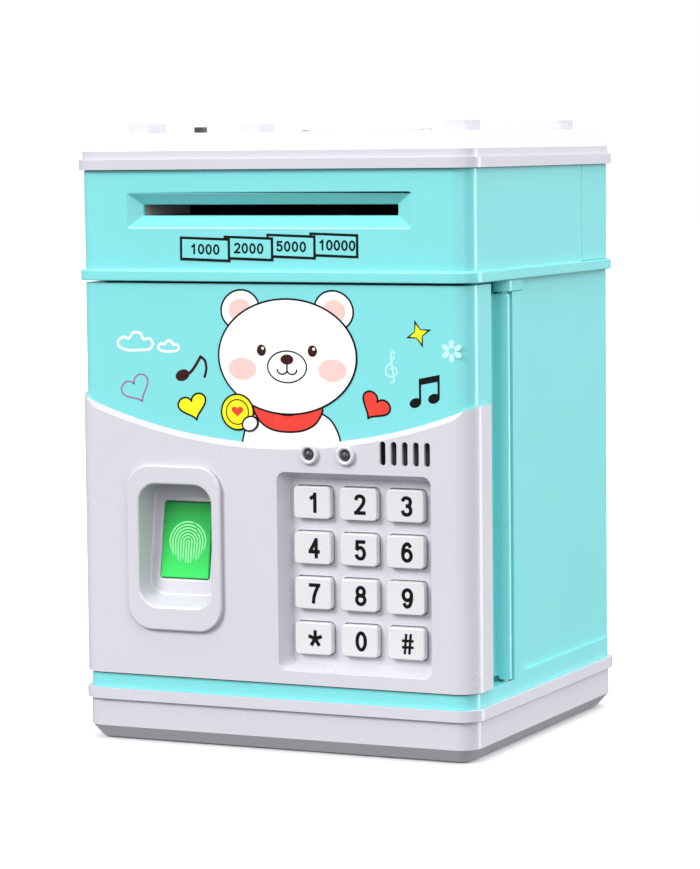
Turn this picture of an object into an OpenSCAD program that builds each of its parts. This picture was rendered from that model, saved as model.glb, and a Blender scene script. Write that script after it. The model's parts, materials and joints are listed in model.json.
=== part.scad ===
// Toy ATM savings bank. A cyan case stands on a grey base. Its front is a door with a keypad and a
// fingerprint button, notes go in at the upper front and coins go in through the lid.
// Origin at the middle of the underside, +Z up, -Y towards the front, millimetres.

/* [Case] */
// Width of the case, side to side
case_w = 129.1; // [128:0.1:131]
// Depth of the case, front to back
case_d = 117; // [115.5:0.1:118.5]
// Radius of the upright corners
corner_r = 6; // [5:0.5:7]
// Wall thickness of the mouldings
wall = 2.4; // [2:0.1:2.6]
// Height of the grey base
base_h = 16.3; // [15.5:0.1:16.5]
// How far the grey lips stand out past the case
lip_out = 1.49; // [1.2:0.01:1.6]
// Depth of the recessed panel in each side
panel_depth = 1; // [0.6:0.1:1.2]

/* [Upper section] */
// Height of the ridge's lower edge
ridge_z = 141.1; // [141:0.1:141.3]
// Height of the ridge itself
ridge_h = 3.2; // [3:0.1:3.4]
// Height where the lid starts
lid_z = 174.5; // [174:0.1:176]
// Front edge of the rear cover
rear_cover_y = 32; // [30:0.5:34]
// Width of the note slot
slot_w = 84.1; // [82:0.1:84.5]
// Height of the note slot
slot_h = 3.2; // [2.8:0.1:3.3]
// Height of the middle of the note slot
slot_z = 162.3; // [162:0.05:162.4]
// Length of the coin slot
coin_w = 33; // [30:0.5:34]
// Width of the coin slot
coin_gap = 4.6; // [4.4:0.1:4.8]
// Depth position of the coin slot
coin_y = 12; // [10:0.5:16]

/* [Door] */
// Lower edge of the door
door_z0 = 21.2; // [21.1:0.1:21.4]
// Upper edge of the door
door_z1 = 140.4; // [140:0.1:140.5]
// Depth of the door, from its face to its back
door_t = 16; // [15.8:0.1:16]
// Radius of the arc along the fascia's top edge
arc_r = 172; // [168:1:180]
// Height of the lowest point of that arc
arc_z = 93; // [92.5:0.1:93.5]
// Sideways position of that lowest point
arc_x = 1.5; // [0:0.1:3]
// How far the fascia stands out from the door
fascia_out = 1.1; // [0.9:0.1:1.2]
// Height of the bevel along the fascia's top edge
arc_bevel = 1.6; // [1.5:0.1:2.8]
// Radius of the hinge barrel
barrel_r = 2.15; // [2.05:0.05:2.25]
// Radius of the hinge pin
pin_r = 1; // [0.9:0.05:1.1]

/* [Keypad] */
// Width of the keypad well at the fascia
well_w = 50; // [49:0.5:51]
// Height of the keypad well at the fascia
well_h = 59.7; // [59:0.1:60]
// Depth of the keypad well
well_depth = 5.8; // [5.5:0.1:5.9]
// Width of one key
key_w = 12; // [11:0.1:12.2]
// Height of one key
key_h = 9.6; // [9:0.1:9.8]
// Distance between key columns
key_dx = 15.1; // [15:0.1:15.3]
// Distance between key rows
key_dz = 13.6; // [13.4:0.1:13.8]
// How far a key stands out of the well's floor
key_out = 2.3; // [2:0.1:2.5]

/* [Fingerprint button] */
// Width of the raised frame
frame_w = 32; // [31:0.5:33]
// Height of the raised frame
frame_h = 50.4; // [50:0.2:51]
// Width of the frame's mouth
mouth_w = 24.6; // [24:0.1:25]
// Height of the frame's mouth
mouth_h = 37.8; // [37:0.1:38]
// Lean of the finger rest, in degrees
rest_tilt = 9; // [8:0.5:10]
// Width of the green window
window_w = 16.1; // [15.5:0.1:16.5]
// Height of the green window
window_h = 22.9; // [22:0.1:23.5]

/* [Hidden] */

CYAN = "#8fe9ea";
GREY = "#dcdae2";
WHITE = "#ededee";
STEEL = "#b4b7bb";
DARK = "#3c4046";

eps = 0.01;
hx = case_w / 2;
hy = case_d / 2;
big = 400;

// Base
pad_r = 6;
pad_x = 48;
pad_y = 42;
pad_top = 1.8;
tray_z = 0.6;
screw_x = 32;
screw_y = 44;
base_inset = 3.3;
band_out = 0.2;
chamfer_z = 4.5;
lip_h = 3.3;
tray_floor = 3;

// Case
sill_z = 20.8;
gap_y = -hy + door_t + 0.4;
side_t = 3.2;
back_t = 3.4;
hinge_x = hx - barrel_r;
hinge_y = -28.5;
pocket_r = barrel_r + 0.4;
cap_r = barrel_r + 0.85;
shoulder_h = 1;
cap_h = 3.6;
groove_x = hx - 6.5;
column_y = -18.7;
panel_y = hy - 2.5;
panel_z = 22.6;

// Battery compartment in the back wall
cell_r = 7.1;
cell_len = 49.2;
nub_h = 1.2;
cell_dx = 15;
cell_y = hy - 10.7;
cell_z = 34.5;
box_x = 29.8;
box_z0 = 28.5;
box_z1 = 87.1;
box_y = hy - 20;
box_t = 1.5;
hatch_z0 = 26.4;
hatch_z1 = 92.4;
hatch_x = 27.5;
hatch_flange = 1.8;
channel_y = hy - 1.8;

// Upper section
shelf_top = 143.5;
ridge_out = 1.45;
slot_x = -1.3;
recess_x = -0.55;
recess_w = 93.7;
recess_z0 = 157;
recess_z1 = 167.4;
recess_in = 3.2;
slot_block_in = 4.6;
band_z = lid_z + 3;
slope_z = lid_z + 5.5;
deck_z = lid_z + 10.9;
lid_band_out = 0.37;
slope_in = 5.6;
block_h = 2.8;
block_x = hx - 11.9;
block_y0 = -34.9;
block_y1 = 41.3;
STUD = [-35.1, -37.5];
stud_h = 1.7;

// Note feeder: the roller and shaft axes lie along X
plate_x0 = -45.85;
plate_x1 = 46.95;
plate_t = 2;
guide_x0 = plate_x0 + plate_t;
guide_x1 = plate_x1 - plate_t;
guide_t = 0.9;
frame_y0 = -53;
frame_y1 = -24.5;
plate_z = 171;
motor_x = 19.5;
rotor_x = 29.5;
gear_x = 48.5;
feed_r = 5.5;
pinch_r = 3.9;
nip = 0.15;
feed_y = -30.5;
feed_z = slot_z - nip - feed_r;
pinch_z = slot_z + nip + pinch_r;
shaft_r = 1.5;
pinch_shaft_r = 1.2;
running_gap = 0.05;
roller_w = 10;
ROLLER_X = [-24.5, 9.5];
gear_module = 0.5;
gear_teeth = 44;
pinion_teeth = 11;
gear_dist = gear_module * (gear_teeth + pinion_teeth) / 2;
motor_drop = 5.2;
motor_y = feed_y - sqrt(gear_dist * gear_dist - motor_drop * motor_drop);
motor_z = feed_z - motor_drop;
motor_shaft_r = 1;
mesh_angle = atan2(motor_z - feed_z, motor_y - feed_y);
drop_y0 = -23.5;
drop_y1 = -9.5;
chute_t = 1.6;

// Door lock
bolt_x = -54.75;
bolt_y = -48;
bolt_r = 2.5;
bolt_z0 = 141.6;
bolt_z1 = 164.5;
collar_z = 152.6;
coil_z = 158;
coil_top = 168.8;

// Door
face_y = -hy - fascia_out;
door_back = -hy + door_t;
opening_y = -hy + 11;
skin_y = -hy + 6;
fascia_back = door_back - 3;
cover_t = 2;
post_x = 57.55;
post_len = 10.5;
POST_Z = [29, 128];
well_x = 27.25;
well_z = 54.9;
well_slope = 2.3;
well_floor_t = 1.4;
well_floor = face_y + well_depth;
flange_gap = 0.3;
flange_t = 1.2;
mat_y = -49.3;
keys_z = 55.1;
finger_x = -31.95;
finger_z = 60.5;
finger_out = 1.6;
bucket_w = 28;
bucket_h = 45.6;
rest_t = 1.5;
rest_y = -52.4;
mouth_y = face_y - 2.9;
bucket_y = face_y + 13.1;
ramp_h = 7.2;
window_z = 62.05;
LAMP_X = [13.25, 25.15];
lamp_z = 90.3;
lamp_r = 1.7;
ring_bead_r = 0.65;
grille_x = 36.95;
grille_dx = 3.55;
grille_z = 91.2;
speaker_x = 44.05;
speaker_z = 92.6;

// ---- shared shapes ----

// A rounded rectangle centred on the origin
module rounded(w, d, r) {
  square([w - 2 * r, d], center = true);
  square([w, d - 2 * r], center = true);
  for (x = [-1, 1], y = [-1, 1])
    translate([x * (w / 2 - r), y * (d / 2 - r)]) circle(r, $fn = 32);
}

// The case's outline, grown by `out` all round, between two heights
module ring_slab(out, z0, z1) {
  translate([0, 0, z0]) linear_extrude(z1 - z0)
    rounded(case_w + 2 * out, case_d + 2 * out, max(corner_r + out, 0.6));
}

// A box from its low corner to its high corner
module block(lo, hi) {
  translate(lo) cube(hi - lo);
}

// A drawing in Y and Z, carried along X
module along_x(x0, x1) {
  translate([x0, 0, 0]) rotate([90, 0, 90]) linear_extrude(x1 - x0) children();
}

// A drawing in X and Z, carried along Y
module along_y(y0, y1) {
  translate([0, y1, 0]) rotate([90, 0, 0]) linear_extrude(y1 - y0) children();
}

module rod_x(x0, x1, y, z, r) {
  along_x(x0, x1) translate([y, z]) circle(r, $fn = 48);
}

module rod_y(y0, y1, x, z, r) {
  along_y(y0, y1) translate([x, z]) circle(r, $fn = 48);
}

module rod_z(z0, z1, x, y, r) {
  translate([x, y, z0]) cylinder(h = z1 - z0, r = r, $fn = 48);
}

// A gear's outline: each tooth is a slim trapezoid, which leaves backlash on both flanks
function gear_outline(teeth, m) = [
  for (i = [0:teeth - 1], k = [[-0.27, -1.1], [-0.11, 0.75], [0.11, 0.75], [0.27, -1.1]])
    let (a = 360 * (i + k[0]) / teeth, r = m * (teeth / 2 + k[1])) [r * cos(a), r * sin(a)]];

// A coil spring standing on z0. Its outline is the level cut through a round wire that climbs
// `rise` each turn: a long crescent, widest in the middle
module coil(z0, z1, x, y, r, wire, turns) {
  rise = (z1 - z0) / turns;
  reach = 360 * wire / rise;
  steps = 6;
  function half_width(k) = sqrt(max(0, 1 - pow(k / steps, 2))) * wire;
  function side(sign) = [
    for (k = [-steps:steps - 1])
      let (i = sign * k, a = reach * i / steps, d = r + sign * half_width(i)) [d * cos(a), d * sin(a)]];
  translate([x, y, z0])
    linear_extrude(z1 - z0, twist = -360 * turns, slices = 12 * turns)
      polygon(concat(side(1), side(-1)));
}

// ---- base and case ----

module base_tray() {
  color(GREY) difference() {
    union() {
      hull() {
        ring_slab(-base_inset, tray_z, tray_z + eps);
        ring_slab(band_out, chamfer_z, chamfer_z + eps);
      }
      ring_slab(band_out, chamfer_z, base_h - lip_h);
      ring_slab(lip_out, base_h - lip_h, base_h);
    }
    difference() {
      ring_slab(-3.4, tray_floor, base_h + 1);
      for (x = [-screw_x, screw_x], y = [-screw_y, screw_y])
        rod_z(0, base_h, x, y, 4.2);
    }
    for (x = [-screw_x, screw_x], y = [-screw_y, screw_y]) {
      rod_z(0, base_h + 1, x, y, 1.6);
      rod_z(0, 2.6, x, y, 3.2);
    }
    for (x = [-pad_x, pad_x], y = [-pad_y, pad_y])
      rod_z(0, pad_top, x, y, pad_r + 0.1);
  }
}

module base_feet() {
  color(DARK)
    for (x = [-pad_x, pad_x], y = [-pad_y, pad_y]) translate([x, y, 0]) {
      cylinder(h = 0.4, r1 = pad_r - 0.4, r2 = pad_r, $fn = 48);
      translate([0, 0, 0.4]) cylinder(h = pad_top - 0.4, r = pad_r, $fn = 48);
    }
}

module case_screws() {
  color(STEEL)
    for (x = [-screw_x, screw_x], y = [-screw_y, screw_y]) difference() {
      union() {
        rod_z(1, 2.6, x, y, 2.9);
        rod_z(2.6, 19.5, x, y, 1.5);
      }
      for (turn = [0, 90])
        translate([x, y, 1]) rotate(turn) cube([3.6, 0.7, 1.2], center = true);
    }
}

// The room inside the case, less the wall round the hinge groove
module compartment() {
  difference() {
    block([-hx + side_t, gap_y - 1, sill_z], [hx - side_t, hy - back_t, ridge_z + 1]);
    block([groove_x - wall, gap_y - 2, sill_z - 1], [hx, column_y - 2.2, ridge_z + 2]);
  }
}

module hinge_groove() {
  block([groove_x, gap_y - 2, sill_z], [hx + 9, hinge_y, ridge_z + 1]);
  rod_z(sill_z, ridge_z + 1, hinge_x, hinge_y, pocket_r);
  block([hinge_x, hinge_y - 1, sill_z], [hx + 9, hinge_y + pocket_r, ridge_z + 1]);
}

// Outline of the fixed cap over the hinge, which joins it to the column behind
module hinge_cap_outline() {
  translate([hinge_x, hinge_y]) circle(cap_r, $fn = 48);
  translate([hx - side_t + 0.1, hinge_y]) square([side_t + 0.3, column_y - hinge_y]);
}

module case_shell() {
  color(CYAN) difference() {
    union() {
      ring_slab(0, base_h, sill_z);
      intersection() {
        ring_slab(0, sill_z, ridge_z);
        block([-big, gap_y, 0], [big, big, big]);
      }
    }
    compartment();
    hinge_groove();
    translate([0, 0, ridge_z - cap_h - 0.1]) linear_extrude(big) hinge_cap_outline();
    block([hx - panel_depth, column_y, panel_z], [hx + 9, panel_y, ridge_z + 1]);
    block([-hx - 9, gap_y + 6, panel_z], [-hx + panel_depth, panel_y, ridge_z + 1]);
    block([-box_x + 3.6, box_y, box_z0 + 1], [box_x - 3.6, big, box_z1 - 1]);
    block([-hatch_x - 0.3, hy - 0.61, hatch_z0 - 0.3], [hatch_x + 0.3, big, ridge_z + 1]);
    block([-hatch_x - hatch_flange - 0.3, channel_y, hatch_z0 - 0.3],
      [hatch_x + hatch_flange + 0.3, hy - 0.6, ridge_z + 1]);
    for (x = [-screw_x, screw_x], y = [-screw_y, screw_y])
      rod_z(base_h - 1, 19.5, x, y, 1.5);
    rod_z(17, sill_z + 1, hinge_x, hinge_y, pin_r);
  }
}

module hinge_pin() {
  color(STEEL) rod_z(17, ridge_z - 0.3, hinge_x, hinge_y, pin_r);
}

// ---- battery compartment ----

module battery_box() {
  color(DARK) difference() {
    block([-box_x, box_y, box_z0], [box_x, hy - back_t, box_z1]);
    block([-box_x + box_t, box_y + box_t, box_z0 + box_t],
      [box_x - box_t, hy, box_z1 - box_t]);
  }
}

module batteries() {
  color("#2f6f9f")
    for (i = [-1:1])
      translate([i * cell_dx, cell_y, cell_z + (i == 0 ? 0 : cell_len)]) mirror([0, 0, abs(i)]) {
        cylinder(h = cell_len - nub_h, r = cell_r, $fn = 48);
        translate([0, 0, cell_len - nub_h]) cylinder(h = nub_h, r = 2.7, $fn = 48);
      }
}

module battery_contacts() {
  low = box_z0 + box_t;
  high = box_z1 - box_t;
  top = cell_z + cell_len;
  color(STEEL) {
    for (i = [-1:1]) {
      block([i * cell_dx - 5, cell_y - 5, low], [i * cell_dx + 5, cell_y + 5, low + 0.4]);
      block([i * cell_dx - 5, cell_y - 5, high - 0.4], [i * cell_dx + 5, cell_y + 5, high]);
      rod_z(low + 0.4, cell_z, i * cell_dx, cell_y, 2.4);
      rod_z(top, high - 0.4, i * cell_dx, cell_y, 2.4);
    }
  }
}

module battery_door() {
  color(CYAN) {
    block([-hatch_x, channel_y + 0.3, hatch_z0], [hatch_x, hy + 0.3, hatch_z1]);
    block([-hatch_x - hatch_flange, channel_y + 0.3, hatch_z0],
      [hatch_x + hatch_flange, hy - 0.9, hatch_z1]);
    for (i = [0:3])
      block([-10, hy + 0.3, hatch_z0 + 8 + 3 * i], [10, hy + 0.8, hatch_z0 + 9.4 + 3 * i]);
  }
}

// ---- upper section ----

// The bevelled recess round the note slot: two tapered prisms meet in a four-sided funnel
module slot_recess() {
  front = -hy - eps;
  back = -hy + recess_in;
  intersection() {
    translate([0, 0, recess_z0]) linear_extrude(recess_z1 - recess_z0)
      polygon([[recess_x - recess_w / 2, front], [recess_x + recess_w / 2, front],
        [slot_x + slot_w / 2, back], [slot_x - slot_w / 2, back]]);
    along_x(recess_x - recess_w / 2, recess_x + recess_w / 2)
      polygon([[front, recess_z0], [front, recess_z1],
        [back, slot_z + slot_h / 2], [back, slot_z - slot_h / 2]]);
  }
}

module upper_housing() {
  color(CYAN) difference() {
    union() {
      ring_slab(ridge_out, ridge_z, ridge_z + ridge_h);
      intersection() {
        ring_slab(0, ridge_z, lid_z);
        block([-big, -big, 0], [big, rear_cover_y, big]);
      }
      translate([0, 0, ridge_z - cap_h]) linear_extrude(cap_h + eps) hinge_cap_outline();
    }
    difference() {
      ring_slab(-wall, shelf_top, big);
      block([slot_x - slot_w / 2 - 8, -hy, recess_z0 - wall],
        [slot_x + slot_w / 2 + 8, -hy + slot_block_in, recess_z1 + wall]);
    }
    slot_recess();
    block([slot_x - slot_w / 2, -hy - 1, slot_z - slot_h / 2],
      [slot_x + slot_w / 2, -hy + wall + slot_block_in, slot_z + slot_h / 2]);
    block([slot_x - slot_w / 2, drop_y0, ridge_z - 1],
      [slot_x + slot_w / 2, drop_y1, shelf_top + 1]);
    block([-coin_w / 2 - chute_t - 0.2, coin_y - coin_gap / 2 - chute_t - 0.2, ridge_z - 1],
      [coin_w / 2 + chute_t + 0.2, coin_y + coin_gap / 2 + chute_t + 0.2, shelf_top + 1]);
    rod_z(ridge_z - 1, shelf_top + 1, bolt_x, bolt_y, bolt_r + 0.5);
    rod_z(ridge_z - cap_h - 1, ridge_z - 0.3, hinge_x, hinge_y, pin_r);
  }
}

module rear_cover() {
  color(CYAN) difference() {
    intersection() {
      ring_slab(0, ridge_z + ridge_h, lid_z);
      block([-big, rear_cover_y + 0.3, 0], [big, big, big]);
    }
    ring_slab(-wall, ridge_z, big);
  }
}

module top_lid() {
  color(GREY) difference() {
    union() {
      ring_slab(lip_out, lid_z, band_z);
      ring_slab(lid_band_out, band_z, slope_z);
      hull() {
        ring_slab(lid_band_out, slope_z, slope_z + eps);
        ring_slab(-slope_in, deck_z - eps, deck_z);
      }
      for (x = [-block_x, block_x], y = [block_y0, block_y1])
        translate([x, y, deck_z - 1]) linear_extrude(block_h + 1) rounded(6.7, 12.4, 1);
    }
    ring_slab(-wall, lid_z - 1, slope_z - 0.5);
    ring_slab(-slope_in - wall, slope_z - 1, deck_z - wall);
    translate([0, coin_y, deck_z - 0.9]) linear_extrude(9) rounded(44, 12, 5.9);
    block([-coin_w / 2, coin_y - coin_gap / 2, lid_z],
      [coin_w / 2, coin_y + coin_gap / 2, deck_z + 9]);
  }
}

// A small dark stud that stands on the lid near its left front block
module lid_stud() {
  color(DARK) translate([STUD[0], STUD[1], deck_z]) cube([2.8, 3, stud_h]);
}

module coin_slot_bezel() {
  color(STEEL) difference() {
    translate([0, coin_y, deck_z - 0.9]) linear_extrude(1.5) rounded(43.8, 11.8, 5.8);
    block([-coin_w / 2, coin_y - coin_gap / 2, lid_z],
      [coin_w / 2, coin_y + coin_gap / 2, deck_z + 9]);
  }
}

module coin_chute() {
  color(WHITE) translate([0, coin_y, 0]) difference() {
    translate([0, 0, ridge_z]) linear_extrude(deck_z - wall - ridge_z)
      square([coin_w + 2 * chute_t, coin_gap + 2 * chute_t], center = true);
    translate([0, 0, ridge_z - 1]) linear_extrude(deck_z)
      square([coin_w, coin_gap], center = true);
  }
}

// ---- note feeder ----

module roller_windows(half_y) {
  for (x = ROLLER_X)
    block([x - roller_w / 2 - 1, feed_y - half_y, slot_z - 4],
      [x + roller_w / 2 + 1, feed_y + half_y, slot_z + 4]);
}

module note_guide_lower() {
  z1 = slot_z - slot_h / 2;
  color(DARK) difference() {
    block([guide_x0, -hy + slot_block_in, z1 - guide_t], [guide_x1, feed_y + 7.2, z1]);
    roller_windows(5.4);
  }
}

module note_guide_upper() {
  z0 = slot_z + slot_h / 2;
  bend_y = -22.5;
  bend_r = drop_y1 - bend_y;
  color(DARK) difference() {
    union() {
      block([guide_x0, -hy + slot_block_in, z0], [guide_x1, bend_y, z0 + guide_t]);
      along_x(guide_x0, guide_x1) difference() {
        intersection() {
          translate([bend_y, z0 - bend_r]) circle(bend_r + guide_t, $fn = 96);
          translate([bend_y, z0 - bend_r]) square(2 * bend_r);
        }
        translate([bend_y, z0 - bend_r]) circle(bend_r, $fn = 96);
      }
      block([guide_x0, bend_y + bend_r, shelf_top],
        [guide_x1, bend_y + bend_r + guide_t, z0 - bend_r]);
    }
    roller_windows(4.2);
  }
}

module feeder_frame() {
  color(WHITE) difference() {
    union() {
      for (x = [plate_x0, plate_x1 - plate_t])
        block([x, frame_y0, shelf_top], [x + plate_t, frame_y1, plate_z]);
      block([guide_x0, frame_y0, 166], [guide_x1, frame_y0 + 2, plate_z]);
      block([guide_x0, frame_y1 - 5, shelf_top], [guide_x1, frame_y1, shelf_top + 2]);
    }
    rod_x(-big, big, feed_y, feed_z, shaft_r + running_gap);
    rod_x(-big, big, feed_y, pinch_z, pinch_shaft_r + running_gap);
    rod_x(0, big, motor_y, motor_z, 2.6);
  }
}

module feed_motor() {
  color(STEEL) difference() {
    union() {
      along_x(motor_x, guide_x1) translate([motor_y, motor_z]) intersection() {
        circle(10, $fn = 64);
        square([20, 15.1], center = true);
      }
      rod_x(motor_x - 1.4, motor_x, motor_y, motor_z, 3);
      rod_x(guide_x1, guide_x1 + 1.2, motor_y, motor_z, 2.5);
    }
    rod_x(rotor_x, big, motor_y, motor_z, motor_shaft_r + running_gap);
  }
}

module motor_shaft() {
  color(STEEL) rod_x(rotor_x + 0.3, gear_x + 4.4, motor_y, motor_z, motor_shaft_r);
}

module motor_pinion() {
  color("#c9a24a") along_x(gear_x - 0.4, gear_x + 4.2) translate([motor_y, motor_z]) difference() {
    rotate(mesh_angle + 180 + 180 / pinion_teeth) polygon(gear_outline(pinion_teeth, gear_module));
    circle(motor_shaft_r, $fn = 32);
  }
}

module feed_gear() {
  color(WHITE) along_x(gear_x, gear_x + 3.8) translate([feed_y, feed_z]) difference() {
    rotate(mesh_angle) polygon(gear_outline(gear_teeth, gear_module));
    circle(shaft_r, $fn = 48);
  }
}

module feed_shaft() {
  color(STEEL) rod_x(plate_x0 - 1.5, gear_x + 5, feed_y, feed_z, shaft_r);
}

module feed_rollers() {
  color(DARK) for (x = ROLLER_X) difference() {
    rod_x(x - roller_w / 2, x + roller_w / 2, feed_y, feed_z, feed_r);
    rod_x(x - roller_w, x + roller_w, feed_y, feed_z, shaft_r);
  }
}

module pinch_shaft() {
  color(STEEL) rod_x(plate_x0 - 1.5, plate_x1 + 1.2, feed_y, pinch_z, pinch_shaft_r);
}

module pinch_rollers() {
  color(DARK) for (x = ROLLER_X) difference() {
    rod_x(x - roller_w / 2, x + roller_w / 2, feed_y, pinch_z, pinch_r);
    rod_x(x - roller_w, x + roller_w, feed_y, pinch_z, pinch_shaft_r);
  }
}

module note_sensor() {
  low = [-40.5, -49.5, slot_z + slot_h / 2 + guide_t];
  color("#2e6b3e") {
    block(low, low + [10, 10, 1.2]);
    block(low + [2, 2, 1.2], low + [8, 8, 5]);
  }
}

// ---- door lock ----

module lock_solenoid() {
  lo = [bolt_x - 5.2, bolt_y - 5, shelf_top];
  hi = [bolt_x + 4.8, bolt_y + 5, coil_top + 1.2];
  color(STEEL) difference() {
    union() {
      block(lo, [hi[0], hi[1], shelf_top + 1.2]);
      block([lo[0], lo[1], coil_top], hi);
      block(lo, [lo[0] + 1.2, hi[1], hi[2]]);
      rod_z(coil_z, coil_top, bolt_x, bolt_y, 4.4);
    }
    rod_z(0, coil_top - 1, bolt_x, bolt_y, bolt_r + 0.1);
  }
}

module lock_bolt() {
  color(STEEL) {
    rod_z(bolt_z0, bolt_z1, bolt_x, bolt_y, bolt_r);
    rod_z(collar_z, collar_z + 1, bolt_x, bolt_y, 3.8);
  }
}

module bolt_spring() {
  color(STEEL) coil(collar_z + 1 + eps, coil_z - eps, bolt_x, bolt_y, 3.2, 0.3, 4);
}

// ---- door ----

module door_posts(r, y0, y1) {
  for (x = [-post_x, post_x], z = POST_Z) rod_y(y0, y1, x, z, r);
}

module grille_slots(y0, y1) {
  for (i = [0:4]) along_y(y0, y1)
    translate([grille_x + i * grille_dx, grille_z]) rounded(1.9, 7.1, 0.94);
}

module lamp_holes(r, y0, y1) {
  for (x = LAMP_X) rod_y(y0, y1, x, lamp_z, r);
}

module door_shell() {
  color(CYAN) difference() {
    intersection() {
      ring_slab(0, door_z0, door_z1);
      block([-big, -big, 0], [big, door_back, big]);
    }
    difference() {
      ring_slab(-wall, door_z0 + wall, door_z1 - wall);
      door_posts(3, -hy, door_back - cover_t);
    }
    door_posts(1.5, door_back - post_len - 0.5, door_back - cover_t + 1);
    along_y(-hy - 1, opening_y) translate([well_x, well_z]) rounded(well_w + 2.4, well_h + 2.4, 4.6);
    along_y(-hy - 1, opening_y) translate([finger_x, finger_z]) bucket_outline(0.4);
    along_y(-hy - 1, skin_y) translate([speaker_x, grille_z]) rounded(21, 9.2, 2);
    lamp_holes(2.35, -hy - 1, skin_y);
    rod_z(door_z1 - wall - 1, door_z1 + 1, bolt_x, bolt_y, bolt_r + 0.7);
  }
}

// Outline of the fingerprint bucket, which goes through the fascia and the door
module bucket_outline(room) {
  rounded(bucket_w + room, bucket_h + room, 6.5 + room / 2);
}

// The tapered hollow of the keypad well
module well_hollow() {
  translate([well_x, 0, well_z]) hull() {
    along_y(face_y - eps, face_y) rounded(well_w, well_h, 2.6);
    along_y(well_floor - eps, well_floor)
      rounded(well_w - 2 * well_slope, well_h - 2 * well_slope, 1.8);
  }
}

module key_places() {
  for (col = [-1:1], row = [0:3])
    translate([well_x + col * key_dx, 0, keys_z + (1.5 - row) * key_dz]) children();
}

module door_fascia() {
  color(GREY) difference() {
    union() {
      difference() {
        intersection() {
          ring_slab(fascia_out, door_z0, arc_z + 20);
          block([-big, -big, 0], [big, fascia_back, big]);
        }
        ring_slab(0, 0, big);
        translate([arc_x, 0, arc_z + arc_r]) rotate([-90, 0, 0]) {
          translate([0, 0, -hy]) cylinder(h = big, r = arc_r, $fn = 360);
          translate([0, 0, face_y - eps])
            cylinder(h = fascia_out + 2 * eps, r1 = arc_r + arc_bevel, r2 = arc_r, $fn = 360);
        }
      }
      along_y(-hy - eps, well_floor + well_floor_t)
        translate([well_x, well_z]) rounded(well_w + 2, well_h + 2, 3.4);
    }
    well_hollow();
    key_places() along_y(-big, 0) rounded(key_w + 0.6, key_h + 0.6, 1.6);
    along_y(-big, 0) translate([finger_x, finger_z]) bucket_outline(0.4);
    grille_slots(-big, 0);
    lamp_holes(2.35, -big, 0);
  }
}

// One key: a cap on a wider flange that keeps it in the well's floor
module key_cap(col, row) {
  flange_y = well_floor + well_floor_t + flange_gap;
  color(WHITE) translate([well_x + col * key_dx, 0, keys_z + (1.5 - row) * key_dz]) {
    along_y(well_floor - key_out, flange_y + eps) rounded(key_w, key_h, 1.3);
    along_y(flange_y, flange_y + flange_t) rounded(key_w + 1.6, key_h + 1.8, 1);
  }
}

module key_1() { key_cap(-1, 0); }
module key_2() { key_cap(0, 0); }
module key_3() { key_cap(1, 0); }
module key_4() { key_cap(-1, 1); }
module key_5() { key_cap(0, 1); }
module key_6() { key_cap(1, 1); }
module key_7() { key_cap(-1, 2); }
module key_8() { key_cap(0, 2); }
module key_9() { key_cap(1, 2); }
module key_star() { key_cap(-1, 3); }
module key_0() { key_cap(0, 3); }
module key_hash() { key_cap(1, 3); }

module keypad_mat() {
  color(DARK) along_y(mat_y, mat_y + 0.9)
    translate([well_x, well_z]) rounded(47.4, 56, 2);
}

module control_board() {
  color("#2e6b3e") {
    block([0, mat_y + 1, 24.5], [54.5, mat_y + 2.6, 86.5]);
    for (x = [6, 26, 46]) block([x, mat_y + 2.6, 40], [x + 7, mat_y + 3.8, 47]);
  }
}

module door_back_cover() {
  color(CYAN) difference() {
    block([-hx + wall + 0.2, door_back - cover_t, door_z0 + wall + 0.2],
      [hx - wall - 0.2, door_back, door_z1 - wall - 0.2]);
    door_posts(1.6, door_back - post_len, door_back + 1);
    door_posts(2.8, door_back - 1.2, door_back + 1);
  }
}

module door_screws() {
  color(STEEL) difference() {
    union() {
      door_posts(2.6, door_back - 1.2, door_back - 0.1);
      door_posts(1.45, door_back - post_len, door_back - 1.2);
    }
    for (x = [-post_x, post_x], z = POST_Z, turn = [0, 90])
      translate([x, door_back, z]) rotate([0, turn, 0]) cube([3.4, 1.2, 0.7], center = true);
  }
}

module hinge_barrel() {
  z0 = door_z0 + 0.3;
  z1 = ridge_z - cap_h - 0.3;
  color(CYAN) difference() {
    union() {
      rod_z(z0, z1 - shoulder_h, hinge_x, hinge_y, barrel_r);
      translate([hinge_x, hinge_y, z1 - shoulder_h])
        cylinder(h = shoulder_h, r1 = barrel_r, r2 = barrel_r - 0.6 * shoulder_h, $fn = 48);
      block([hinge_x - 3.85, door_back, z0 + 1], [hinge_x - 1.85, hinge_y - 0.4, z1 - 0.4]);
      block([hinge_x - 3.85, hinge_y - 2.1, z0 + 1], [hinge_x, hinge_y - 0.4, z1 - 0.4]);
    }
    rod_z(0, big, hinge_x, hinge_y, pin_r + running_gap);
  }
}

module bolt_keeper() {
  color(STEEL) difference() {
    block([bolt_x - 5.4, bolt_y - 5.5, door_z1 - wall - 1.2],
      [bolt_x + 6.2, door_back - cover_t - 0.1, door_z1 - wall]);
    rod_z(0, big, bolt_x, bolt_y, bolt_r + 0.6);
  }
}

module speaker() {
  color(DARK) {
    along_y(-hy + wall + 0.2, skin_y) translate([speaker_x, speaker_z]) rounded(26, 12.2, 6);
    rod_y(skin_y, skin_y + 3.2, speaker_x, speaker_z, 5);
  }
}

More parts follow.
